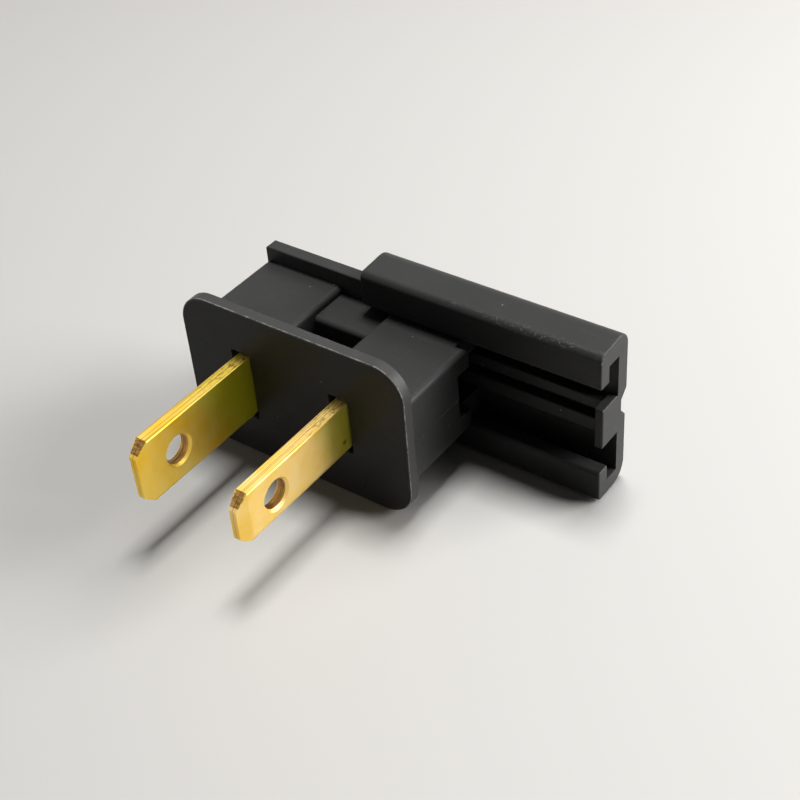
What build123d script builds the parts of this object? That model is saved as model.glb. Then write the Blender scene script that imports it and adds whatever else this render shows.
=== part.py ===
from build123d import *
import math
import os

# Two-blade slide plug for flat lamp cord, its cover pushed open about half way.
# All sizes in millimetres.
# Frame: blades point along -Y, the cover slides along X, +Z is up.
# Origin: front surface of the face plate, midway between the blades.

# Blades, folded from brass sheet to the two-pole straight blade sizes
blade_pitch = 12.7
leaf_thickness = 0.735
leaf_gap = 0.05
wide_blade_width = 7.8
narrow_blade_width = 6.22
blade_reach = 17.0
tip_corner_length = 1.6
tip_corner_drop = 1.3
tip_bevel_length = 1.5
tip_bevel_depth = 0.34
leaf_edge_round = 0.12
bend_flat = 0.03
blade_hole_radius = 1.59
blade_hole_from_tip = 5.4
hole_chamfer = 0.3
tooth_width = 2.0
tooth_height = 2.7
tooth_offset = 1.3
tooth_tip_width = 0.3

# Face plate
plate_width = 28.7
plate_height = 18.8
plate_thickness = 1.35
plate_corner = 3.6
plate_edge_round = 0.25

# Two blade blocks behind the plate
block_gap = 7.3
block_outer_x = 14.25
block_height = 10.5
block_edge_round = 0.6
side_draft_angle = 1.0  # degrees
side_mouth_round = 0.2
parting_z = 0.0
parting_step = 0.06

# Bridge between the blocks, in front of the cord channel
bridge_height = 8.6
bridge_floor = 0.85
bridge_edge_round = 0.6

# Cord channel across the back
channel_floor_y = 9.6
channel_height = 5.6

# Rails that the cover runs on
rail_front_y = 13.85
rail_thickness = 1.5
rail_height = 14.0
rail_left_inset = 0.1
rail_corner_round = 0.35
rail_edge_round = 0.15
end_recess_y = 11.65
end_recess_x = 1.35
upper_end_round = 0.9
lower_end_round = 1.8

# Slots for the blades
slot_side_clearance = 0.05
slot_mouth_width = 2.5
slot_mouth_shift = -0.25
slot_mouth_over = 0.4
slot_mouth_depth = 3.0
slot_floor = 1.5

# Slide cover, a C section that hooks over both rails
cover_length = 28.8
cover_open_shift = 14.9
cover_front_y = 12.0
cover_wall = 1.85
cover_lower_wall = 1.7
rail_front_clearance = 0.1
rail_back_clearance = 0.2
lip_half_opening = 5.4
groove_top_z = 7.5
groove_bottom_z = -7.3
cover_top_front_z = 9.55
cover_top_back_z = 9.85
cover_bottom_z = -9.2
cover_top_front_round = 0.8
cover_top_back_round = 1.7
cover_bottom_front_round = 0.6
cover_bottom_back_round = 2.2
lip_front_round = 0.4
lip_back_round = 0.2
cover_end_round = 0.2
finger_groove_depth = 1.0
finger_groove_floor = 1.4
finger_groove_slope = 1.0
finger_groove_z = 0.7

# Cord grips inside the cover
tab_length = 0.95
tab_depth = 3.05
tab_top_z = 2.5
tab_bottom_z = -2.4
tab_edge_round = 0.2
ridge_depth = 1.25
ridge_start = 1.0
upper_ridge_top_z = 2.25
upper_ridge_bottom_z = 0.9
lower_ridge_top_z = -0.4
lower_ridge_bottom_z = -2.05
ridge_edge_round = 0.15

# How far cutting shapes stand proud, and how near an edge must lie to be picked
cut_margin = 1.0
pick_reach = 0.02

# Worked out from the sizes above
blade_thickness = 2 * leaf_thickness + leaf_gap
plate_back_y = plate_thickness
rail_back_y = rail_front_y + rail_thickness
seat_y = channel_floor_y - slot_floor
lip_inner_y = rail_front_y - rail_front_clearance
groove_back_y = rail_back_y + rail_back_clearance
cover_back_y = groove_back_y + cover_wall
cover_lower_back_y = groove_back_y + cover_lower_wall
cover_home_left = -cover_length / 2
cover_left = cover_home_left + cover_open_shift
cover_right = cover_left + cover_length


def across(sketch, y_front, y_back):
    """A sketch in X and Z, made solid from one depth to another."""
    return extrude(Plane.XZ.offset(-y_back) * sketch, y_back - y_front, dir=(0, -1, 0))


def along(sketch, x_left, x_right):
    """A section in Y and Z, made solid along X."""
    return extrude(Plane.YZ.offset(x_left) * sketch, x_right - x_left, dir=(1, 0, 0))


def block(x0, x1, y0, y1, z0, z1):
    """A plain block between two corners."""
    return Pos((x0 + x1) / 2, (y0 + y1) / 2, (z0 + z1) / 2) * Box(x1 - x0, y1 - y0, z1 - z0)


def edges_along_x(solid, y, z):
    """The straight edges along X that lie at one depth and height."""
    return [
        e
        for e in solid.edges().filter_by(Axis.X)
        if abs(e.center().Y - y) < pick_reach and abs(e.center().Z - z) < pick_reach
    ]


def round_corner(section, y, z, radius):
    """A section in Y and Z with one of its corners rounded."""
    corner = section.vertices().sort_by_distance((y, z, 0))[0]
    return fillet(corner, radius)


def make_slot(side, blade_width):
    """The stepped opening for one blade, with a loose mouth and a close inner part."""
    middle = side * blade_pitch / 2
    mouth_x = middle + slot_mouth_shift
    mouth = Pos(mouth_x, 0) * Rectangle(slot_mouth_width, blade_width + 2 * slot_mouth_over)
    inner_width = blade_thickness + 2 * slot_side_clearance
    inner = Pos(middle, 0) * Rectangle(inner_width, blade_width + 2 * slot_side_clearance)
    tooth = Rectangle(inner_width, tooth_width + 2 * slot_side_clearance)
    tooth = Pos(middle, side * tooth_offset) * tooth
    cut = across(mouth, -cut_margin, slot_mouth_depth)
    cut += across(inner, 0, seat_y)
    cut += across(tooth, 0, channel_floor_y + cut_margin)
    return cut


def block_outline():
    """The right block in X and Z, its outer face leaning in both ways from the parting line."""
    half_block = block_height / 2
    lean = math.tan(math.radians(side_draft_angle))
    outline = Polygon(
        (block_gap / 2, -half_block),
        (block_outer_x - lean * (parting_z + half_block), -half_block),
        (block_outer_x, parting_z),
        (block_outer_x - lean * (half_block - parting_z), half_block),
        (block_gap / 2, half_block),
        align=None,
    )
    corners = [v for v in outline.vertices() if abs(abs(v.Y) - half_block) < pick_reach]
    return fillet(corners, block_edge_round)


def make_body():
    """One moulding: plate, two blocks, bridge, channel walls and rails."""
    plate = across(RectangleRounded(plate_width, plate_height, plate_corner), 0, plate_back_y)
    plate = fillet(plate.faces().sort_by(Axis.Y)[0].edges(), plate_edge_round)

    rail_right_x = block_outer_x - end_recess_x
    rail_left_x = -block_outer_x + rail_left_inset
    rail = RectangleRounded(rail_right_x - rail_left_x, rail_height, rail_corner_round)
    body = plate + across(Pos((rail_left_x + rail_right_x) / 2, 0) * rail, rail_front_y, rail_back_y)
    rail_edges = edges_along_x(body, rail_front_y, rail_height / 2)
    rail_edges += edges_along_x(body, rail_front_y, -rail_height / 2)
    body = fillet(rail_edges, rail_edge_round)

    right_block = across(block_outline(), plate_back_y, rail_front_y)
    body += right_block
    body += mirror(right_block, Plane.YZ)

    bridge_front_y = channel_floor_y - bridge_floor
    bridge = Rectangle(rail_front_y - bridge_front_y, bridge_height)
    bridge = Pos((rail_front_y + bridge_front_y) / 2, 0) * bridge
    bridge = round_corner(bridge, bridge_front_y, bridge_height / 2, bridge_edge_round)
    bridge = round_corner(bridge, bridge_front_y, -bridge_height / 2, bridge_edge_round)
    bridge_reach = block_gap / 2 + block_edge_round
    body += along(bridge, -bridge_reach, bridge_reach)

    half_channel = channel_height / 2
    far_x = block_outer_x + cut_margin
    far_y = rail_back_y + cut_margin
    body -= block(-far_x, far_x, channel_floor_y, far_y, -half_channel, half_channel)

    # The right end is set back behind the blocks, where the cover's end tab comes to lie
    half_block = block_height / 2
    recess = block(rail_right_x, far_x, channel_floor_y, far_y, -rail_height, rail_height)
    wall_end = Rectangle(end_recess_y - plate_back_y, block_height)
    wall_end = Pos((plate_back_y + end_recess_y) / 2, 0) * wall_end
    wall_end = round_corner(wall_end, end_recess_y, half_block, upper_end_round)
    wall_end = round_corner(wall_end, end_recess_y, -half_block, lower_end_round)
    body -= recess - along(wall_end, rail_right_x, far_x)

    # Cord mouths at both ends of the channel floor
    mouth_edges = [
        e
        for e in body.edges()
        if abs(e.center().Y - channel_floor_y) < pick_reach
        and abs(e.center().Z) < half_channel - pick_reach
        and abs(e.center().X) > block_outer_x - block_edge_round
    ]
    body = fillet(mouth_edges, side_mouth_round)

    # Above the parting line the outer faces stand back by a fine step
    strip_width = 2 * block_edge_round + cut_margin
    strip_height = half_block - parting_z + cut_margin
    strip = Rectangle(strip_width, strip_height)
    strip = Pos(block_outer_x + cut_margin - strip_width / 2, parting_z + strip_height / 2) * strip
    strip -= Pos(-parting_step, 0) * block_outline()
    set_back = across(strip, plate_back_y, rail_front_y)
    body -= set_back
    body -= mirror(set_back, Plane.YZ)

    body -= make_slot(-1, wide_blade_width)
    body -= make_slot(1, narrow_blade_width)
    return body


def make_blade(side, width):
    """One folded blade: two leaves joined by a bend along the lower edge, with a piercing tooth."""
    half = blade_thickness / 2
    slab = Rectangle(blade_thickness, width)
    slab = fillet(slab.vertices().group_by(Axis.Y)[0], half - bend_flat / 2)
    slab = fillet(slab.vertices().group_by(Axis.Y)[-1], leaf_edge_round)
    blade = across(slab, -blade_reach, seat_y)

    # Clipped corners at the tip
    half_width = width / 2
    for level in (-1, 1):
        corner = Polygon(
            (-blade_reach - cut_margin, level * (half_width + cut_margin)),
            (-blade_reach + tip_corner_length, level * (half_width + cut_margin)),
            (-blade_reach + tip_corner_length, level * half_width),
            (-blade_reach, level * (half_width - tip_corner_drop)),
            (-blade_reach - cut_margin, level * (half_width - tip_corner_drop)),
            align=None,
        )
        blade -= along(corner, -half - cut_margin, half + cut_margin)

    # Lead-in bevels on both sides of the tip
    for face in (-1, 1):
        wedge = Polygon(
            (face * half, -blade_reach + tip_bevel_length),
            (face * (half + cut_margin), -blade_reach + tip_bevel_length),
            (face * (half + cut_margin), -blade_reach - cut_margin),
            (face * (half - tip_bevel_depth), -blade_reach - cut_margin),
            (face * (half - tip_bevel_depth), -blade_reach),
            align=None,
        )
        blade -= Pos(0, 0, -width) * extrude(wedge, 2 * width, dir=(0, 0, 1))

    hole_y = -blade_reach + blade_hole_from_tip
    hole = Pos(0, hole_y, 0) * Rot(0, 90, 0) * Cylinder(blade_hole_radius, 2 * blade_thickness)
    blade -= hole
    for face in (-1, 1):
        flare = Cone(blade_hole_radius, blade_hole_radius + 2 * hole_chamfer, 2 * hole_chamfer)
        blade -= Pos(face * half, hole_y, 0) * Rot(0, face * 90, 0) * flare

    # Piercing tooth, sheared to a point, that stands in the cord channel
    root = tooth_width / 2
    tooth_profile = Polygon(
        (seat_y - leaf_thickness, side * tooth_offset - root),
        (channel_floor_y, side * tooth_offset - root),
        (channel_floor_y + tooth_height, side * tooth_offset - tooth_tip_width / 2),
        (channel_floor_y + tooth_height, side * tooth_offset + tooth_tip_width / 2),
        (channel_floor_y, side * tooth_offset + root),
        (seat_y - leaf_thickness, side * tooth_offset + root),
        align=None,
    )
    blade += along(tooth_profile, -half, half)

    # The seam between the two leaves, open along the upper edge and the ends
    seam_bottom = -half_width + half
    seam = block(
        -leaf_gap / 2,
        leaf_gap / 2,
        -blade_reach - cut_margin,
        channel_floor_y + tooth_height + cut_margin,
        seam_bottom,
        half_width + cut_margin,
    )
    blade -= seam
    return Pos(side * blade_pitch / 2, 0, 0) * blade


def outer_end_edges(cover):
    """The edges of both end faces of the cover that lie outside its groove."""
    return [
        e
        for e in cover.edges()
        if min(abs(e.center().X - cover_left), abs(e.center().X - cover_right)) < pick_reach
        and not (
            lip_inner_y - pick_reach < e.center().Y < groove_back_y + pick_reach
            and groove_bottom_z - pick_reach < e.center().Z < groove_top_z + pick_reach
        )
    ]


def make_cover():
    """The sliding cover: a C section with hooks, a finger groove, cord ridges and an end tab."""
    outer = Polygon(
        (cover_front_y, cover_bottom_z),
        (cover_lower_back_y, cover_bottom_z),
        (cover_lower_back_y, finger_groove_z),
        (cover_back_y, finger_groove_z),
        (cover_back_y, cover_top_back_z),
        (cover_front_y, cover_top_front_z),
        align=None,
    )
    outer = round_corner(outer, cover_front_y, cover_bottom_z, cover_bottom_front_round)
    outer = round_corner(outer, cover_lower_back_y, cover_bottom_z, cover_bottom_back_round)
    outer = round_corner(outer, cover_back_y, cover_top_back_z, cover_top_back_round)
    outer = round_corner(outer, cover_front_y, cover_top_front_z, cover_top_front_round)

    groove_height = groove_top_z - groove_bottom_z
    groove = Rectangle(groove_back_y - lip_inner_y, groove_height)
    groove = Pos((groove_back_y + lip_inner_y) / 2, (groove_top_z + groove_bottom_z) / 2) * groove
    mouth = Rectangle(groove_back_y - cover_front_y + cut_margin, 2 * lip_half_opening)
    mouth = Pos((groove_back_y + cover_front_y - cut_margin) / 2, 0) * mouth
    half_floor = finger_groove_floor / 2
    half_top = half_floor + finger_groove_slope
    finger_groove = Polygon(
        (cover_lower_back_y, finger_groove_z - half_top),
        (cover_back_y + cut_margin, finger_groove_z - half_top),
        (cover_back_y + cut_margin, finger_groove_z + half_top),
        (cover_back_y, finger_groove_z + half_top),
        (cover_back_y - finger_groove_depth, finger_groove_z + half_floor),
        (cover_back_y - finger_groove_depth, finger_groove_z - half_floor),
        align=None,
    )
    section = outer - groove - mouth - finger_groove
    cover = along(section, cover_left, cover_right)

    for lip_y, radius in ((cover_front_y, lip_front_round), (lip_inner_y, lip_back_round)):
        lip_edges = edges_along_x(cover, lip_y, -lip_half_opening)
        lip_edges += edges_along_x(cover, lip_y, lip_half_opening)
        cover = fillet(lip_edges, radius)
    cover = fillet(outer_end_edges(cover), cover_end_round)

    ridge_left = cover_left + ridge_start
    ridge_right = cover_right - tab_length
    ridge_front_y = groove_back_y - ridge_depth
    ridge_levels = (
        (upper_ridge_bottom_z, upper_ridge_top_z),
        (lower_ridge_bottom_z, lower_ridge_top_z),
    )
    for bottom_z, top_z in ridge_levels:
        ridge = block(ridge_left, ridge_right, ridge_front_y, groove_back_y, bottom_z, top_z)
        front_edges = edges_along_x(ridge, ridge_front_y, bottom_z)
        front_edges += edges_along_x(ridge, ridge_front_y, top_z)
        cover += fillet(front_edges, ridge_edge_round)

    tab_front_y = groove_back_y - tab_depth
    tab = block(ridge_right, cover_right, tab_front_y, groove_back_y, tab_bottom_z, tab_top_z)
    tab_edges = tab.faces().sort_by(Axis.Y)[0].edges()
    tab_edges += tab.edges().filter_by(Axis.Y).group_by(Axis.X)[-1]
    cover += fillet(tab_edges, tab_edge_round)
    return cover


def save(name, solid):
    export_step(solid, os.path.join("parts", name + ".step"))
    print(name, round(solid.volume, 1), "mm3,", len(solid.solids()), "solid")


os.makedirs("parts", exist_ok=True)
save("plug_body", make_body())
save("wide_blade", make_blade(-1, wide_blade_width))
save("narrow_blade", make_blade(1, narrow_blade_width))
save("slide_cover", make_cover())
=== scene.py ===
import bmesh
import bpy
import math
from mathutils import Matrix, Vector


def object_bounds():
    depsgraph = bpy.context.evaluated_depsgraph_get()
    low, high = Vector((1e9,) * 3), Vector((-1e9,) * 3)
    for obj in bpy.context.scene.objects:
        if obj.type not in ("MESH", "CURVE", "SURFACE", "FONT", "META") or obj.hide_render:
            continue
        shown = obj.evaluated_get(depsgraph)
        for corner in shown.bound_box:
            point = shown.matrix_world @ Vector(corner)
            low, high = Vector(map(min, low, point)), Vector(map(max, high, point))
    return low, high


# Slide plug on a pale table, with its cover pushed half open.
# Everything in Blender is in metres, in the part's own frame. The lengths in the dictionaries are in mm.
mm = 0.001

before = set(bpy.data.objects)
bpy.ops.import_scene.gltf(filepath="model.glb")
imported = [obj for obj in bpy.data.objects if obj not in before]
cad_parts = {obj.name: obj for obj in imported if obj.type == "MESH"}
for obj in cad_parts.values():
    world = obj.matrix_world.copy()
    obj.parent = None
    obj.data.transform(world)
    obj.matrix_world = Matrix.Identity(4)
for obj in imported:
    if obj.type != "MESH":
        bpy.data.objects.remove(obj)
cadLow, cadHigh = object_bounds()
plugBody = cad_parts["plug_body"]
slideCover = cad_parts["slide_cover"]
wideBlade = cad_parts["wide_blade"]
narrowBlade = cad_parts["narrow_blade"]
print("stage 1: frame loaded,", len(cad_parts), "nodes")


def linearColour(hexColour):  # sRGB hex to the linear colour that a shader takes, by the standard's curve
    channels = [int(hexColour[i:i + 2], 16) / 255 for i in (1, 3, 5)]
    linear = [c / 12.92 if c <= 0.04045 else ((c + 0.055) / 1.055) ** 2.4 for c in channels]
    return (*linear, 1.0)


def addNode(tree, kind, inputs=None, **settings):  # one shader node, with its values, links and settings
    node = tree.nodes.new(kind)
    for name, value in settings.items():
        setattr(node, name, value)
    for name, value in (inputs or {}).items():
        if isinstance(value, bpy.types.NodeSocket):
            tree.links.new(value, node.inputs[name])
        else:
            node.inputs[name].default_value = value
    return node


def newMaterial(name):
    material = bpy.data.materials.new(name)
    material.use_nodes = True
    material.node_tree.nodes.clear()
    return material, material.node_tree


def coverWith(piece, material):
    piece.data.materials.clear()
    piece.data.materials.append(material)


def perMetre(sizeInMm):  # the scale of a pattern whose feature has this real size
    return 1 / (sizeInMm * mm)


# How much finer detail a noise carries on top of its own size. Where none is named, Blender's own is right.
smooth = {"Detail": 0.0}
soft = {"Detail": 1.0}
grainy = {"Detail": 2.0, "Roughness": 0.6}
flecked = {"Detail": 2.0, "Roughness": 0.7}
crumbled = {"Detail": 3.0, "Roughness": 0.6}
ragged = {"Detail": 4.0, "Roughness": 0.65}
# Nearly all of a noise lies between these two values
noiseLow = 0.3
noiseHigh = 0.7

# Satin injection-moulded thermoplastic: carbon black all through, so it reads as a soft dark grey that
# follows the light. A value named Low or High is where a noise starts to show and where it shows fully.
satinPlastic = {
    "colour": "#343434",
    "flowColour": "#3e3e3d",
    # rubbedAndHighlightColour serves rubbed edges and scuffs, and the painted highlight on the plate's rim;
    # wornColour serves scratches, and the thin painted highlight line on the plate's front edge
    "rubbedAndHighlightColour": "#6b6a67",
    "wornColour": "#b4b2ae",
    "dustColour": "#8b8882",
    "ior": 1.33,
    "specularLevel": 0.3,  # a worn satin skin mirrors less than a polished one
    "flowWidth": 9.0,
    "roughness": 0.42,
    "roughnessSwing": 0.035,
    "rubWidth": 0.9,
    "edgeWidth": 0.3,
    "edgeSamples": 6,
    "edgeStart": 0.99,  # cosine between the rounded and the real normal where the wear starts
    "edgeFull": 0.93,
    "edgeNoiseWidth": 0.7,
    "edgePatchLow": 0.5,
    "edgePatchHigh": 0.68,
    "edgeShare": 0.7,
    "grainWidth": 0.22,  # the spark-eroded mould skin is about 0.05 mm, drawn coarser so that it shows
    "grainDepth": 0.004,
    "waveWidth": 2.6,  # shallow sink and flow marks of the moulding
    "waveDepth": 0.0025,
    "scratchTurns": (2.5, -4.0),  # degrees off the X axis, along which the cover is pushed and wiped
    "scratchWidth": 0.1,
    "scratchLength": 2.0,
    "scratchLow": 0.7,
    "scratchHigh": 0.8,
    "scratchShare": 0.06,
    "scratchPatch": 4.0,  # the scratches lie in patches of this width
    "scratchPatchLow": 0.45,
    "scratchPatchHigh": 0.62,
    "dustSpacing": 1.7,
    "dustSize": 0.05,  # of dustSpacing
    "dustSmallest": 0.4,  # of dustSize
    "dustLargest": 1.6,
    "dustShare": 0.3,  # of the places that could hold a speck
}
# Handling scuffs run along the upper front edge of the cover
coverScuffs = {
    "edgeY": 12.4,
    "edgeZ": 9.5,
    "reach": 0.7,
    "startX": 9.0,
    "fullX": 19.0,
    "fleckWidth": 0.24,
    "fleckStretch": 0.6,  # below 1 they are drawn out along the edge
    "fleckLow": 0.55,
    "fleckHigh": 0.61,
    "patchWidth": 3.2,
    "patchLow": 0.36,
    "patchHigh": 0.55,
    "nickDepth": 0.05,
}
# The rim of the face plate is painted paler all round, partly rubbing wear and partly painted highlight, and
# its rounded front edge carries a thin broken line of painted highlight
plateRimHighlight = {
    "lineY": 0.17,
    "lineHalf": 0.08,
    "lineShare": 0.9,
    "lineFaintest": 0.15,
    "lineLow": 0.4,
    "lineHigh": 0.62,
    "startY": 0.1,
    "endY": 1.33,
    "rimShare": 0.17,
}


def rubbedEdges(tree, look, patchy):  # where the rounded normal leaves the real one, in patches
    softened = addNode(tree, "ShaderNodeBevel", {"Radius": look["edgeWidth"] * mm},
                       samples=look["edgeSamples"])
    surface = addNode(tree, "ShaderNodeNewGeometry")
    straight = addNode(tree, "ShaderNodeVectorMath", {0: softened.outputs[0],
                                                      1: surface.outputs["True Normal"]},
                       operation="DOT_PRODUCT")
    edge = addNode(tree, "ShaderNodeMapRange", {"Value": straight.outputs["Value"],
                                                "From Min": look["edgeStart"],
                                                "From Max": look["edgeFull"]})
    worn = addNode(tree, "ShaderNodeMapRange", {"Value": patchy, "From Min": look["edgePatchLow"],
                                                "From Max": look["edgePatchHigh"],
                                                "To Max": look["edgeShare"]})
    rubbed = addNode(tree, "ShaderNodeMath", {0: edge.outputs[0], 1: worn.outputs[0]}, operation="MULTIPLY")
    return rubbed.outputs[0]


def scuffedEdge(tree, place, scuffs):
    fromEdge = addNode(tree, "ShaderNodeMapping", {"Vector": place,
                                                   "Location": (0.0, -scuffs["edgeY"] * mm,
                                                                -scuffs["edgeZ"] * mm),
                                                   "Scale": (0.0, 1.0, 1.0)})
    distance = addNode(tree, "ShaderNodeVectorMath", {0: fromEdge.outputs[0]}, operation="LENGTH")
    band = addNode(tree, "ShaderNodeMapRange", {"Value": distance.outputs["Value"],
                                                "From Min": scuffs["reach"] * mm, "From Max": 0.0})
    stretched = addNode(tree, "ShaderNodeMapping", {"Vector": place,
                                                    "Scale": (scuffs["fleckStretch"], 1.0, 1.0)})
    flecks = addNode(tree, "ShaderNodeTexNoise", {"Vector": stretched.outputs[0],
                                                  "Scale": perMetre(scuffs["fleckWidth"]), **flecked})
    fleck = addNode(tree, "ShaderNodeMapRange", {"Value": flecks.outputs["Fac"],
                                                 "From Min": scuffs["fleckLow"],
                                                 "From Max": scuffs["fleckHigh"]})
    patches = addNode(tree, "ShaderNodeTexNoise", {"Vector": place, "Scale": perMetre(scuffs["patchWidth"]),
                                                   **soft})
    patch = addNode(tree, "ShaderNodeMapRange", {"Value": patches.outputs["Fac"],
                                                 "From Min": scuffs["patchLow"],
                                                 "From Max": scuffs["patchHigh"]})
    parts = addNode(tree, "ShaderNodeSeparateXYZ", {0: place})
    rightPart = addNode(tree, "ShaderNodeMapRange", {"Value": parts.outputs["X"],
                                                     "From Min": scuffs["startX"] * mm,
                                                     "From Max": scuffs["fullX"] * mm})
    scuff = band
    for share in (patch, rightPart, fleck):
        scuff = addNode(tree, "ShaderNodeMath", {0: scuff.outputs[0], 1: share.outputs[0]},
                        operation="MULTIPLY")
    return scuff.outputs[0]


def paintedRimHighlight(tree, place, rim, patchy):  # the whole rim, partly rubbed and partly painted highlight, and the painted highlight line on its front edge
    depth = addNode(tree, "ShaderNodeSeparateXYZ", {0: place}).outputs["Y"]
    fromLine = addNode(tree, "ShaderNodeMath", {0: depth, 1: rim["lineY"] * mm}, operation="SUBTRACT")
    fromLine = addNode(tree, "ShaderNodeMath", {0: fromLine.outputs[0]}, operation="ABSOLUTE")
    line = addNode(tree, "ShaderNodeMapRange", {"Value": fromLine.outputs[0],
                                                "From Min": rim["lineHalf"] * mm, "From Max": 0.0,
                                                "To Max": rim["lineShare"]})
    broken = addNode(tree, "ShaderNodeMapRange", {"Value": patchy, "From Min": rim["lineLow"],
                                                  "From Max": rim["lineHigh"],
                                                  "To Min": rim["lineFaintest"]})
    line = addNode(tree, "ShaderNodeMath", {0: line.outputs[0], 1: broken.outputs[0]}, operation="MULTIPLY")
    afterStart = addNode(tree, "ShaderNodeMath", {0: depth, 1: rim["startY"] * mm},
                         operation="GREATER_THAN")
    beforeEnd = addNode(tree, "ShaderNodeMath", {0: depth, 1: rim["endY"] * mm}, operation="LESS_THAN")
    side = addNode(tree, "ShaderNodeMath", {0: afterStart.outputs[0], 1: beforeEnd.outputs[0]},
                   operation="MULTIPLY")
    side = addNode(tree, "ShaderNodeMath", {0: side.outputs[0], 1: rim["rimShare"]}, operation="MULTIPLY")
    return side.outputs[0], line.outputs[0]


def scratched(tree, place, look, colour):  # short faint scratches, in patches
    patches = addNode(tree, "ShaderNodeTexNoise", {"Vector": place, "Scale": perMetre(look["scratchPatch"]),
                                                   **soft})
    patch = addNode(tree, "ShaderNodeMapRange", {"Value": patches.outputs["Fac"],
                                                 "From Min": look["scratchPatchLow"],
                                                 "From Max": look["scratchPatchHigh"],
                                                 "To Max": look["scratchShare"]})
    for turn in look["scratchTurns"]:
        turned = addNode(tree, "ShaderNodeMapping", {
            "Vector": place, "Rotation": (0.0, math.radians(turn), math.radians(turn)),
            "Scale": (look["scratchLength"] / look["scratchWidth"], 1.0, 1.0)}, vector_type="TEXTURE")
        streaks = addNode(tree, "ShaderNodeTexNoise", {"Vector": turned.outputs[0],
                                                       "Scale": perMetre(look["scratchWidth"]), **smooth})
        scratch = addNode(tree, "ShaderNodeMapRange", {"Value": streaks.outputs["Fac"],
                                                       "From Min": look["scratchLow"],
                                                       "From Max": look["scratchHigh"]})
        scratch = addNode(tree, "ShaderNodeMath", {0: scratch.outputs[0], 1: patch.outputs[0]},
                          operation="MULTIPLY")
        colour = addNode(tree, "ShaderNodeMix", {"Factor": scratch.outputs[0], "A": colour,
                                                 "B": linearColour(look["wornColour"])},
                         data_type="RGBA").outputs[2]
    return colour


def dusted(tree, place, look, colour):  # a few stray specks of dust
    jitter = addNode(tree, "ShaderNodeTexNoise", {"Vector": place, "Scale": perMetre(look["grainWidth"]),
                                                  **soft})
    uneven = addNode(tree, "ShaderNodeMapRange", {"Value": jitter.outputs["Fac"], "From Min": noiseLow,
                                                  "From Max": noiseHigh,
                                                  "To Min": look["dustSmallest"] * look["dustSize"],
                                                  "To Max": look["dustLargest"] * look["dustSize"]})
    cell = addNode(tree, "ShaderNodeTexVoronoi", {"Vector": place, "Scale": perMetre(look["dustSpacing"])})
    near = addNode(tree, "ShaderNodeMath", {0: cell.outputs["Distance"], 1: uneven.outputs[0]},
                   operation="LESS_THAN")
    drawn = addNode(tree, "ShaderNodeTexWhiteNoise", {"Vector": cell.outputs["Position"]})
    chosen = addNode(tree, "ShaderNodeMath", {0: drawn.outputs["Value"], 1: look["dustShare"]},
                     operation="LESS_THAN")
    dust = addNode(tree, "ShaderNodeMath", {0: near.outputs[0], 1: chosen.outputs[0]}, operation="MULTIPLY")
    return addNode(tree, "ShaderNodeMix", {"Factor": dust.outputs[0], "A": colour,
                                           "B": linearColour(look["dustColour"])},
                   data_type="RGBA").outputs[2]


def mouldedNormal(tree, place, look, scuff, scuffs):  # nicks, then sink marks, then the mould's grain
    wave = addNode(tree, "ShaderNodeTexNoise", {"Vector": place, "Scale": perMetre(look["waveWidth"]),
                                                **soft})
    waved = addNode(tree, "ShaderNodeBump", {"Height": wave.outputs["Fac"],
                                             "Distance": look["waveDepth"] * mm})
    if scuffs:
        nicks = addNode(tree, "ShaderNodeBump", {"Height": scuff, "Distance": scuffs["nickDepth"] * mm},
                        invert=True)
        tree.links.new(nicks.outputs[0], waved.inputs["Normal"])
    grain = addNode(tree, "ShaderNodeTexNoise", {"Vector": place, "Scale": perMetre(look["grainWidth"]),
                                                 **grainy})
    bump = addNode(tree, "ShaderNodeBump", {"Height": grain.outputs["Fac"],
                                            "Distance": look["grainDepth"] * mm,
                                            "Normal": waved.outputs[0]})
    return bump.outputs[0]


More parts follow.
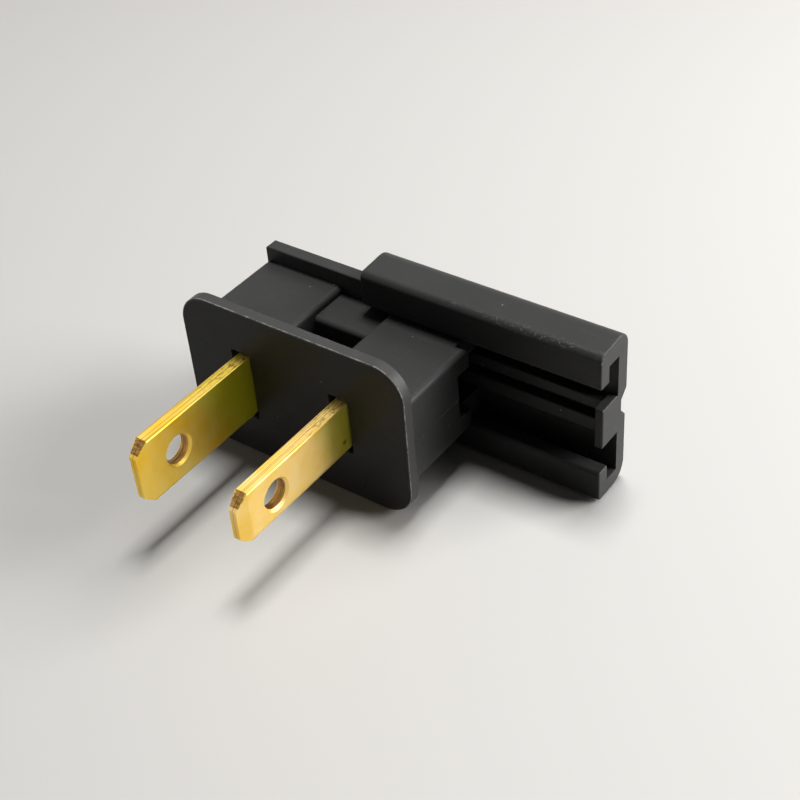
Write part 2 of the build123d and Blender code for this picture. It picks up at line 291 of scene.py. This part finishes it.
def makeSatinPlastic(name, look, scuffs=None, rim=None):
    material, tree = newMaterial(name)
    place = addNode(tree, "ShaderNodeTexCoord").outputs["Object"]
    flow = addNode(tree, "ShaderNodeTexNoise", {"Vector": place, "Scale": perMetre(look["flowWidth"])})
    tone = addNode(tree, "ShaderNodeMix", {"Factor": flow.outputs["Fac"], "A": linearColour(look["colour"]),
                                           "B": linearColour(look["flowColour"])}, data_type="RGBA")
    patchy = addNode(tree, "ShaderNodeTexNoise", {"Vector": place,
                                                  "Scale": perMetre(look["edgeNoiseWidth"]),
                                                  **ragged}).outputs["Fac"]
    marks = rubbedEdges(tree, look, patchy)
    scuff = None
    if scuffs:
        scuff = scuffedEdge(tree, place, scuffs)
        marks = addNode(tree, "ShaderNodeMath", {0: marks, 1: scuff}, operation="MAXIMUM").outputs[0]
    # the plate's rim is painted paler here, partly rubbing wear and partly painted highlight
    if rim:
        side, line = paintedRimHighlight(tree, place, rim, patchy)
        marks = addNode(tree, "ShaderNodeMath", {0: marks, 1: side}, operation="MAXIMUM").outputs[0]
    colour = addNode(tree, "ShaderNodeMix", {"Factor": marks, "A": tone.outputs[2],
                                             "B": linearColour(look["rubbedAndHighlightColour"])},
                     data_type="RGBA").outputs[2]
    # the thin painted highlight line along the plate's rounded front edge
    if rim:
        colour = addNode(tree, "ShaderNodeMix", {"Factor": line, "A": colour,
                                                 "B": linearColour(look["wornColour"])},
                         data_type="RGBA").outputs[2]
    colour = scratched(tree, place, look, colour)
    colour = dusted(tree, place, look, colour)

    rub = addNode(tree, "ShaderNodeTexNoise", {"Vector": place, "Scale": perMetre(look["rubWidth"]),
                                               **crumbled})
    gloss = addNode(tree, "ShaderNodeMapRange", {"Value": rub.outputs["Fac"], "From Min": noiseLow,
                                                 "From Max": noiseHigh,
                                                 "To Min": look["roughness"] - look["roughnessSwing"],
                                                 "To Max": look["roughness"] + look["roughnessSwing"]})
    skin = addNode(tree, "ShaderNodeBsdfPrincipled", {"Base Color": colour, "Roughness": gloss.outputs[0],
                                                      "IOR": look["ior"],
                                                      "Specular IOR Level": look["specularLevel"],
                                                      "Normal": mouldedNormal(tree, place, look, scuff,
                                                                              scuffs)})
    addNode(tree, "ShaderNodeOutputMaterial", {"Surface": skin.outputs[0]})
    return material


# Rolled brass strip: bright yellow faces with fine lines along the blade, brown and torn where the press has
# sheared it, and an olive tint towards the plate, partly tarnish where nothing wipes it and partly a painted
# reflection of the dark plate
rolledBrass = {
    # greenColour and the tarnish values draw the olive tint towards the plate, which is partly tarnish and
    # partly a painted reflection of the dark plate
    "greenColour": "#d2ce22",
    "shearColour": "#cf9e58",
    "burrColour": "#866431",
    "wornColour": "#8f6a38",
    "roughness": 0.5,
    "roughnessSwing": 0.04,
    "tarnishRoughness": 0.6,
    "bareMetal": 0.88,  # a thin dull film covers the rest
    "tarnishedMetal": 0.7,
    "wipedShare": 0.25,  # of the tarnish, left on the upper edge
    "shearRoughness": 0.45,
    "shearShare": 0.55,
    "shearLow": 0.5,
    "shearHigh": 0.62,
    "lineWidth": 0.16,
    "lineLength": 14.0,
    "lineDepth": 0.0001,
    "patchWidth": 3.5,
    "patchLow": 0.3,
    "patchHigh": 0.68,
    "tearWidth": 0.18,
    "tearLow": 0.38,
    "tearHigh": 0.62,
    "tearAcross": 0.25,  # below 1 the tears are drawn out through the strip's thickness
    "tearAround": 0.12,  # and round the wall of the hole
    "cleanStart": 3.0,  # the piercing teeth are kept clean inside the body
    "cleanEnd": 7.0,
    "speckStart": -9.0,
    "speckWidth": 0.3,
    "speckStretch": 0.4,
    "speckLow": 0.54,
    "speckHigh": 0.62,
    "speckShare": 0.9,
    "spotColour": "#6e4a1c",
    "spotShare": 0.75,
    "spotCore": 0.3,  # of spotSize
}
# Where the press has cut each blade, as the CAD has it. The bright rim beside a torn cut is between
# brightLeast and brightMost wide, and at the tip it is brightTip.
bladeCuts = {
    "tipY": -17.0,
    "cornerLength": 1.6,
    "cornerDrop": 1.3,
    "holeY": -11.6,
    "holeRadius": 1.59,
    "skin": 0.03,
    "halfThickness": 0.76,
    "brightMost": 0.3,
    "brightLeast": 0.1,
    "brightTip": 0.3,
    "edgeBand": 0.1,
}
wideStrip = {
    "middleX": -6.35,
    "halfWidth": 3.9,
    "colour": "#f8ca3c",
    "paleColour": "#fadb70",
    "tarnish": 0.95,
    "tarnishStart": -8.8,
    "tarnishEnd": -2.2,
    "tarnishLean": 0.55,  # mm further along the blade for each mm up
}
narrowStrip = {
    "middleX": 6.35,
    "halfWidth": 3.11,
    # the narrow blade's colours are paler than the wide blade's: a painted highlight on the same brass
    "colour": "#f7cd5e",
    "paleColour": "#fbdc94",
    "tarnish": 0.75,
    "tarnishStart": -5.5,
    "tarnishEnd": -0.5,
    "tarnishLean": 0.3,
    "spot": (7.11, -0.9, -1.28),
    "spotSize": 0.42,
}


def tarnishAndPlateReflection(tree, place, parts, look, strip, upperEdge):  # share of olive tint: partly tarnish, partly a painted reflection of the dark plate
    leaning = addNode(tree, "ShaderNodeVectorMath", {0: place, 1: (0.0, 1.0, strip["tarnishLean"])},
                      operation="DOT_PRODUCT")
    film = addNode(tree, "ShaderNodeMapRange", {"Value": leaning.outputs["Value"],
                                                "From Min": strip["tarnishStart"] * mm,
                                                "From Max": strip["tarnishEnd"] * mm,
                                                "To Max": strip["tarnish"]},
                   interpolation_type="SMOOTHSTEP")
    outside = addNode(tree, "ShaderNodeMapRange", {
        "Value": parts.outputs["Y"], "From Min": look["cleanStart"] * mm, "From Max": look["cleanEnd"] * mm,
        "To Min": 1.0, "To Max": 0.0})
    wiped = addNode(tree, "ShaderNodeMapRange", {"Value": upperEdge, "To Min": 1.0,
                                                 "To Max": look["wipedShare"]})
    for share in (outside, wiped):
        film = addNode(tree, "ShaderNodeMath", {0: film.outputs[0], 1: share.outputs[0]},
                       operation="MULTIPLY")
    return film.outputs[0]


def betweenRims(tree, place, parts, look, cuts, strip):  # the leaves' outer faces are burnished bright
    sideways = addNode(tree, "ShaderNodeMath", {0: parts.outputs["X"], 1: strip["middleX"] * mm},
                       operation="SUBTRACT")
    sideways = addNode(tree, "ShaderNodeMath", {0: sideways.outputs[0]}, operation="ABSOLUTE")
    noise = addNode(tree, "ShaderNodeTexNoise", {"Vector": place, "Scale": perMetre(look["tearWidth"]),
                                                 **soft})
    limit = addNode(tree, "ShaderNodeMapRange", {
        "Value": noise.outputs["Fac"], "From Min": noiseLow, "From Max": noiseHigh,
        "To Min": (cuts["halfThickness"] - cuts["brightMost"]) * mm,
        "To Max": (cuts["halfThickness"] - cuts["brightLeast"]) * mm})
    between = addNode(tree, "ShaderNodeMath", {0: sideways.outputs[0], 1: limit.outputs[0]},
                      operation="LESS_THAN")
    return between.outputs[0]


def clippedCorners(tree, place, parts, cuts, strip, between):  # a thin skin under the slanting cuts
    slant = Vector((0.0, -cuts["cornerDrop"], cuts["cornerLength"])).normalized()
    corner = Vector((0.0, cuts["tipY"] + cuts["cornerLength"], strip["halfWidth"]))
    upright = addNode(tree, "ShaderNodeVectorMath", {0: place}, operation="ABSOLUTE")
    lifted = addNode(tree, "ShaderNodeSeparateXYZ", {0: upright.outputs[0]})
    folded = addNode(tree, "ShaderNodeCombineXYZ", {"Y": parts.outputs["Y"], "Z": lifted.outputs["Z"]})
    outward = addNode(tree, "ShaderNodeVectorMath", {0: folded.outputs[0], 1: slant},
                      operation="DOT_PRODUCT")
    clipped = addNode(tree, "ShaderNodeMath", {
        0: outward.outputs["Value"], 1: (slant.dot(corner) - cuts["skin"]) * mm}, operation="GREATER_THAN")
    behindTip = addNode(tree, "ShaderNodeMath", {
        0: parts.outputs["Y"], 1: (cuts["tipY"] + cuts["brightTip"]) * mm}, operation="GREATER_THAN")
    for share in (between, behindTip.outputs[0]):
        clipped = addNode(tree, "ShaderNodeMath", {0: clipped.outputs[0], 1: share}, operation="MULTIPLY")
    return clipped.outputs[0]


def boredWall(tree, place, cuts):  # the wall of the hole
    fromHole = addNode(tree, "ShaderNodeMapping", {"Vector": place,
                                                   "Location": (0.0, -cuts["holeY"] * mm, 0.0),
                                                   "Scale": (0.0, 1.0, 1.0)})
    radius = addNode(tree, "ShaderNodeVectorMath", {0: fromHole.outputs[0]}, operation="LENGTH")
    bored = addNode(tree, "ShaderNodeMath", {0: radius.outputs["Value"],
                                             1: (cuts["holeRadius"] + cuts["skin"]) * mm},
                    operation="LESS_THAN")
    return bored.outputs[0]


def tornBrass(tree, place, look, bored):  # the colour of a sheared cut
    across = addNode(tree, "ShaderNodeMapping", {"Vector": place, "Scale": (look["tearAcross"], 1.0, 1.0)})
    around = addNode(tree, "ShaderNodeMapping", {"Vector": place,
                                                 "Scale": (1.0, look["tearAround"], look["tearAround"])})
    grained = addNode(tree, "ShaderNodeMix", {"Factor": bored, "A": across.outputs[0],
                                              "B": around.outputs[0]}, data_type="VECTOR")
    tears = addNode(tree, "ShaderNodeTexNoise", {"Vector": grained.outputs[1],
                                                 "Scale": perMetre(look["tearWidth"]), **crumbled})
    torn = addNode(tree, "ShaderNodeMapRange", {"Value": tears.outputs["Fac"], "From Min": look["tearLow"],
                                                "From Max": look["tearHigh"]})
    return addNode(tree, "ShaderNodeMix", {"Factor": torn.outputs[0],
                                           "A": linearColour(look["shearColour"]),
                                           "B": linearColour(look["burrColour"])},
                   data_type="RGBA").outputs[2]


def shearedEdge(tree, place, parts, look, lines, upperEdge, between, colour):
    # The open edge along the top keeps brown lines from the shear, all the way to the plate
    drawn = addNode(tree, "ShaderNodeMapRange", {"Value": lines, "From Min": look["shearLow"],
                                                 "From Max": look["shearHigh"],
                                                 "To Max": look["shearShare"]})
    drawn = addNode(tree, "ShaderNodeMath", {0: upperEdge, 1: drawn.outputs[0]}, operation="MULTIPLY")
    colour = addNode(tree, "ShaderNodeMix", {"Factor": drawn.outputs[0], "A": colour,
                                             "B": linearColour(look["wornColour"])},
                     data_type="RGBA").outputs[2]
    # and dark specks beside the seam, more of them towards the plate
    towardsPlate = addNode(tree, "ShaderNodeMapRange", {
        "Value": parts.outputs["Y"], "From Min": look["speckStart"] * mm, "From Max": 0.0,
        "To Max": look["speckShare"]})
    drawnOut = addNode(tree, "ShaderNodeMapping", {"Vector": place,
                                                   "Scale": (1.0, look["speckStretch"], 1.0)})
    noise = addNode(tree, "ShaderNodeTexNoise", {"Vector": drawnOut.outputs[0],
                                                 "Scale": perMetre(look["speckWidth"]), **grainy})
    specks = addNode(tree, "ShaderNodeMapRange", {"Value": noise.outputs["Fac"],
                                                  "From Min": look["speckLow"],
                                                  "From Max": look["speckHigh"]})
    for share in (upperEdge, towardsPlate.outputs[0], between):
        specks = addNode(tree, "ShaderNodeMath", {0: specks.outputs[0], 1: share}, operation="MULTIPLY")
    return addNode(tree, "ShaderNodeMix", {"Factor": specks.outputs[0], "A": colour,
                                           "B": linearColour(look["spotColour"])},
                   data_type="RGBA").outputs[2]


def burnt(tree, place, look, strip, colour):  # a small brown burn mark
    fromSpot = addNode(tree, "ShaderNodeVectorMath", {0: place, 1: Vector(strip["spot"]) * mm},
                       operation="DISTANCE")
    spot = addNode(tree, "ShaderNodeMapRange", {
        "Value": fromSpot.outputs["Value"], "From Min": strip["spotSize"] * mm,
        "From Max": look["spotCore"] * strip["spotSize"] * mm, "To Max": look["spotShare"]})
    return addNode(tree, "ShaderNodeMix", {"Factor": spot.outputs[0], "A": colour,
                                           "B": linearColour(look["spotColour"])},
                   data_type="RGBA").outputs[2]


def makeRolledBrass(name, look, cuts, strip):
    material, tree = newMaterial(name)
    place = addNode(tree, "ShaderNodeTexCoord").outputs["Object"]
    stretched = addNode(tree, "ShaderNodeMapping", {"Vector": place,
                                                    "Scale": (1.0, look["lineWidth"] / look["lineLength"],
                                                              1.0)})
    lines = addNode(tree, "ShaderNodeTexNoise", {"Vector": stretched.outputs[0],
                                                 "Scale": perMetre(look["lineWidth"])}).outputs["Fac"]
    patches = addNode(tree, "ShaderNodeTexNoise", {"Vector": place, "Scale": perMetre(look["patchWidth"])})
    patch = addNode(tree, "ShaderNodeMapRange", {"Value": patches.outputs["Fac"],
                                                 "From Min": look["patchLow"],
                                                 "From Max": look["patchHigh"]})
    tone = addNode(tree, "ShaderNodeMix", {"Factor": patch.outputs[0], "A": linearColour(strip["colour"]),
                                           "B": linearColour(strip["paleColour"])}, data_type="RGBA")

    parts = addNode(tree, "ShaderNodeSeparateXYZ", {0: place})
    upperEdge = addNode(tree, "ShaderNodeMath", {0: parts.outputs["Z"],
                                                 1: (strip["halfWidth"] - cuts["edgeBand"]) * mm},
                        operation="GREATER_THAN").outputs[0]
    # olive tint towards the plate: partly tarnish, partly a painted reflection of the dark plate
    film = tarnishAndPlateReflection(tree, place, parts, look, strip, upperEdge)
    green = addNode(tree, "ShaderNodeMix", {"Factor": film, "A": tone.outputs[2],
                                            "B": linearColour(look["greenColour"])}, data_type="RGBA")

    between = betweenRims(tree, place, parts, look, cuts, strip)
    clipped = clippedCorners(tree, place, parts, cuts, strip, between)
    bored = boredWall(tree, place, cuts)
    sheared = addNode(tree, "ShaderNodeMath", {0: clipped, 1: bored}, operation="MAXIMUM").outputs[0]
    colour = addNode(tree, "ShaderNodeMix", {"Factor": sheared, "A": green.outputs[2],
                                             "B": tornBrass(tree, place, look, bored)},
                     data_type="RGBA").outputs[2]
    colour = shearedEdge(tree, place, parts, look, lines, upperEdge, between, colour)
    if "spot" in strip:
        colour = burnt(tree, place, look, strip, colour)

    gloss = addNode(tree, "ShaderNodeMapRange", {"Value": lines, "From Min": noiseLow,
                                                 "From Max": noiseHigh,
                                                 "To Min": look["roughness"] - look["roughnessSwing"],
                                                 "To Max": look["roughness"] + look["roughnessSwing"]})
    dull = addNode(tree, "ShaderNodeMix", {"Factor": film, "A": gloss.outputs[0],
                                           "B": look["tarnishRoughness"]}, data_type="FLOAT")
    matt = addNode(tree, "ShaderNodeMix", {"Factor": sheared, "A": dull.outputs[0],
                                           "B": look["shearRoughness"]}, data_type="FLOAT")
    bare = addNode(tree, "ShaderNodeMapRange", {"Value": film, "To Min": look["bareMetal"],
                                                "To Max": look["tarnishedMetal"]})
    bump = addNode(tree, "ShaderNodeBump", {"Height": lines, "Distance": look["lineDepth"] * mm})
    metal = addNode(tree, "ShaderNodeBsdfPrincipled", {"Base Color": colour, "Roughness": matt.outputs[0],
                                                       "Metallic": bare.outputs[0],
                                                       "Normal": bump.outputs[0]})
    addNode(tree, "ShaderNodeOutputMaterial", {"Surface": metal.outputs[0]})
    return material


# the housing's plate rim carries a painted highlight
coverWith(plugBody, makeSatinPlastic("housingSatinPlastic", satinPlastic, rim=plateRimHighlight))
coverWith(slideCover, makeSatinPlastic("coverSatinPlastic", satinPlastic, scuffs=coverScuffs))
coverWith(wideBlade, makeRolledBrass("wideBladeBrass", rolledBrass, bladeCuts, wideStrip))
coverWith(narrowBlade, makeRolledBrass("narrowBladeBrass", rolledBrass, bladeCuts, narrowStrip))
print("stage 2: materials,", len(bpy.data.materials), "finishes")

# The room round the table: what the camera sees of it is brighter than the light that it gives
room = {
    "seenColour": "#f4f3f1",
    "seenStrength": 0.66,
    "lightColour": "#f4f3f1",
    "lightStrength": 0.03,
    "oneBounce": 0.5,  # a diffuse depth under this has no bounce in it
}


def seenRays(tree):  # 1 where the camera looks, straight or in a reflection, 0 where only the light bounces
    rays = addNode(tree, "ShaderNodeLightPath")
    seen = addNode(tree, "ShaderNodeMath", {0: rays.outputs["Is Camera Ray"],
                                            1: rays.outputs["Is Glossy Ray"]}, operation="MAXIMUM")
    seen = addNode(tree, "ShaderNodeMath", {0: seen.outputs[0], 1: rays.outputs["Is Transmission Ray"]},
                   operation="MAXIMUM")
    direct = addNode(tree, "ShaderNodeMath", {0: rays.outputs["Diffuse Depth"], 1: room["oneBounce"]},
                     operation="LESS_THAN")
    seen = addNode(tree, "ShaderNodeMath", {0: seen.outputs[0], 1: direct.outputs[0]}, operation="MULTIPLY")
    return seen.outputs[0]


# Pale table top under the plug, that melts into the room far away
table = {
    "seenColour": "#cfcdc9",
    "bounceColour": "#5c5b5a",
    "halfWidth": 900.0,
    "roughness": 0.6,
    "fadeStart": 100.0,
    "fadeEnd": 420.0,
}
tableShape = bmesh.new()
bmesh.ops.create_grid(tableShape, x_segments=1, y_segments=1, size=table["halfWidth"] * mm)
bmesh.ops.translate(tableShape, verts=tableShape.verts, vec=(0.0, 0.0, cadLow.z))
tableMesh = bpy.data.meshes.new("table")
tableShape.to_mesh(tableMesh)
tableShape.free()
floor = bpy.data.objects.new("table", tableMesh)
bpy.context.scene.collection.objects.link(floor)
tableTop, tree = newMaterial("paleTable")
seen = seenRays(tree)
shade = addNode(tree, "ShaderNodeMix", {"Factor": seen, "A": linearColour(table["bounceColour"]),
                                        "B": linearColour(table["seenColour"])}, data_type="RGBA")
board = addNode(tree, "ShaderNodeBsdfPrincipled", {"Base Color": shade.outputs[2],
                                                   "Roughness": table["roughness"]})
place = addNode(tree, "ShaderNodeTexCoord").outputs["Object"]
away = addNode(tree, "ShaderNodeVectorMath", {0: place}, operation="LENGTH")
fade = addNode(tree, "ShaderNodeMapRange", {
    "Value": away.outputs["Value"], "From Min": table["fadeStart"] * mm, "From Max": table["fadeEnd"] * mm},
    interpolation_type="SMOOTHSTEP")
fade = addNode(tree, "ShaderNodeMath", {0: fade.outputs[0], 1: seen}, operation="MULTIPLY")
haze = addNode(tree, "ShaderNodeEmission", {"Color": linearColour(room["seenColour"]),
                                            "Strength": room["seenStrength"]})
surface = addNode(tree, "ShaderNodeMixShader", {0: fade.outputs[0], 1: board.outputs[0],
                                                2: haze.outputs[0]})
addNode(tree, "ShaderNodeOutputMaterial", {"Surface": surface.outputs[0]})
coverWith(floor, tableTop)

# Studio light: a broad overhead softbox a little behind, a side panel on the right, and a weak low fill
# on the left
lamps = {
    "overhead": {"place": (-10.0, 100.0, 430.0), "size": 120.0, "power": 1.5},
    "rightPanel": {"place": (255.0, 200.0, 120.0), "size": 220.0, "power": 1.68},
    "leftFill": {"place": (-260.0, -200.0, 20.0), "size": 120.0, "power": 0.09},
}
for lampName, lamp in lamps.items():
    light = bpy.data.lights.new(lampName, "AREA")
    light.size = lamp["size"] * mm
    light.energy = lamp["power"]
    holder = bpy.data.objects.new(lampName, light)
    holder.location = Vector(lamp["place"]) * mm
    holder.rotation_euler = (-holder.location).to_track_quat("-Z", "Y").to_euler()
    bpy.context.scene.collection.objects.link(holder)

world = bpy.data.worlds.new("room")
bpy.context.scene.world = world
world.use_nodes = True
tree = world.node_tree
tree.nodes.clear()
dim = addNode(tree, "ShaderNodeBackground", {"Color": linearColour(room["lightColour"]),
                                             "Strength": room["lightStrength"]})
shown = addNode(tree, "ShaderNodeBackground", {"Color": linearColour(room["seenColour"]),
                                               "Strength": room["seenStrength"]})
mixed = addNode(tree, "ShaderNodeMixShader", {0: seenRays(tree), 1: dim.outputs[0], 2: shown.outputs[0]})
addNode(tree, "ShaderNodeOutputWorld", {"Surface": mixed.outputs[0]})
print("stage 3: table, lamps and room")

# Camera at the photograph's viewing angle, worked out from the plug's straight edges
view = {
    "place": (82.973, -86.120, 96.672),
    "azimuth": 38.67,  # degrees
    "elevation": 39.246,
    "roll": -5.095,
    "lens": 66.6,
    "sensor": 36.0,
    "clipStart": 1.0,
    "clipEnd": 5000.0,
}
azimuth = math.radians(view["azimuth"])
elevation = math.radians(view["elevation"])
level = math.cos(elevation)
back = Vector((math.sin(azimuth) * level, -math.cos(azimuth) * level, math.sin(elevation)))
cameraData = bpy.data.cameras.new("camera")
cameraData.lens = view["lens"]
cameraData.sensor_width = view["sensor"]
cameraData.clip_start = view["clipStart"] * mm
cameraData.clip_end = view["clipEnd"] * mm
camera = bpy.data.objects.new("camera", cameraData)
aim = (-back).to_track_quat("-Z", "Y").to_matrix().to_4x4()
roll = Matrix.Rotation(math.radians(view["roll"]), 4, "Z")
camera.matrix_world = Matrix.Translation(Vector(view["place"]) * mm) @ (aim @ roll)
bpy.context.scene.collection.objects.link(camera)
bpy.context.scene.camera = camera
bpy.context.scene.view_settings.view_transform = "Standard"
print("stage 4: camera")
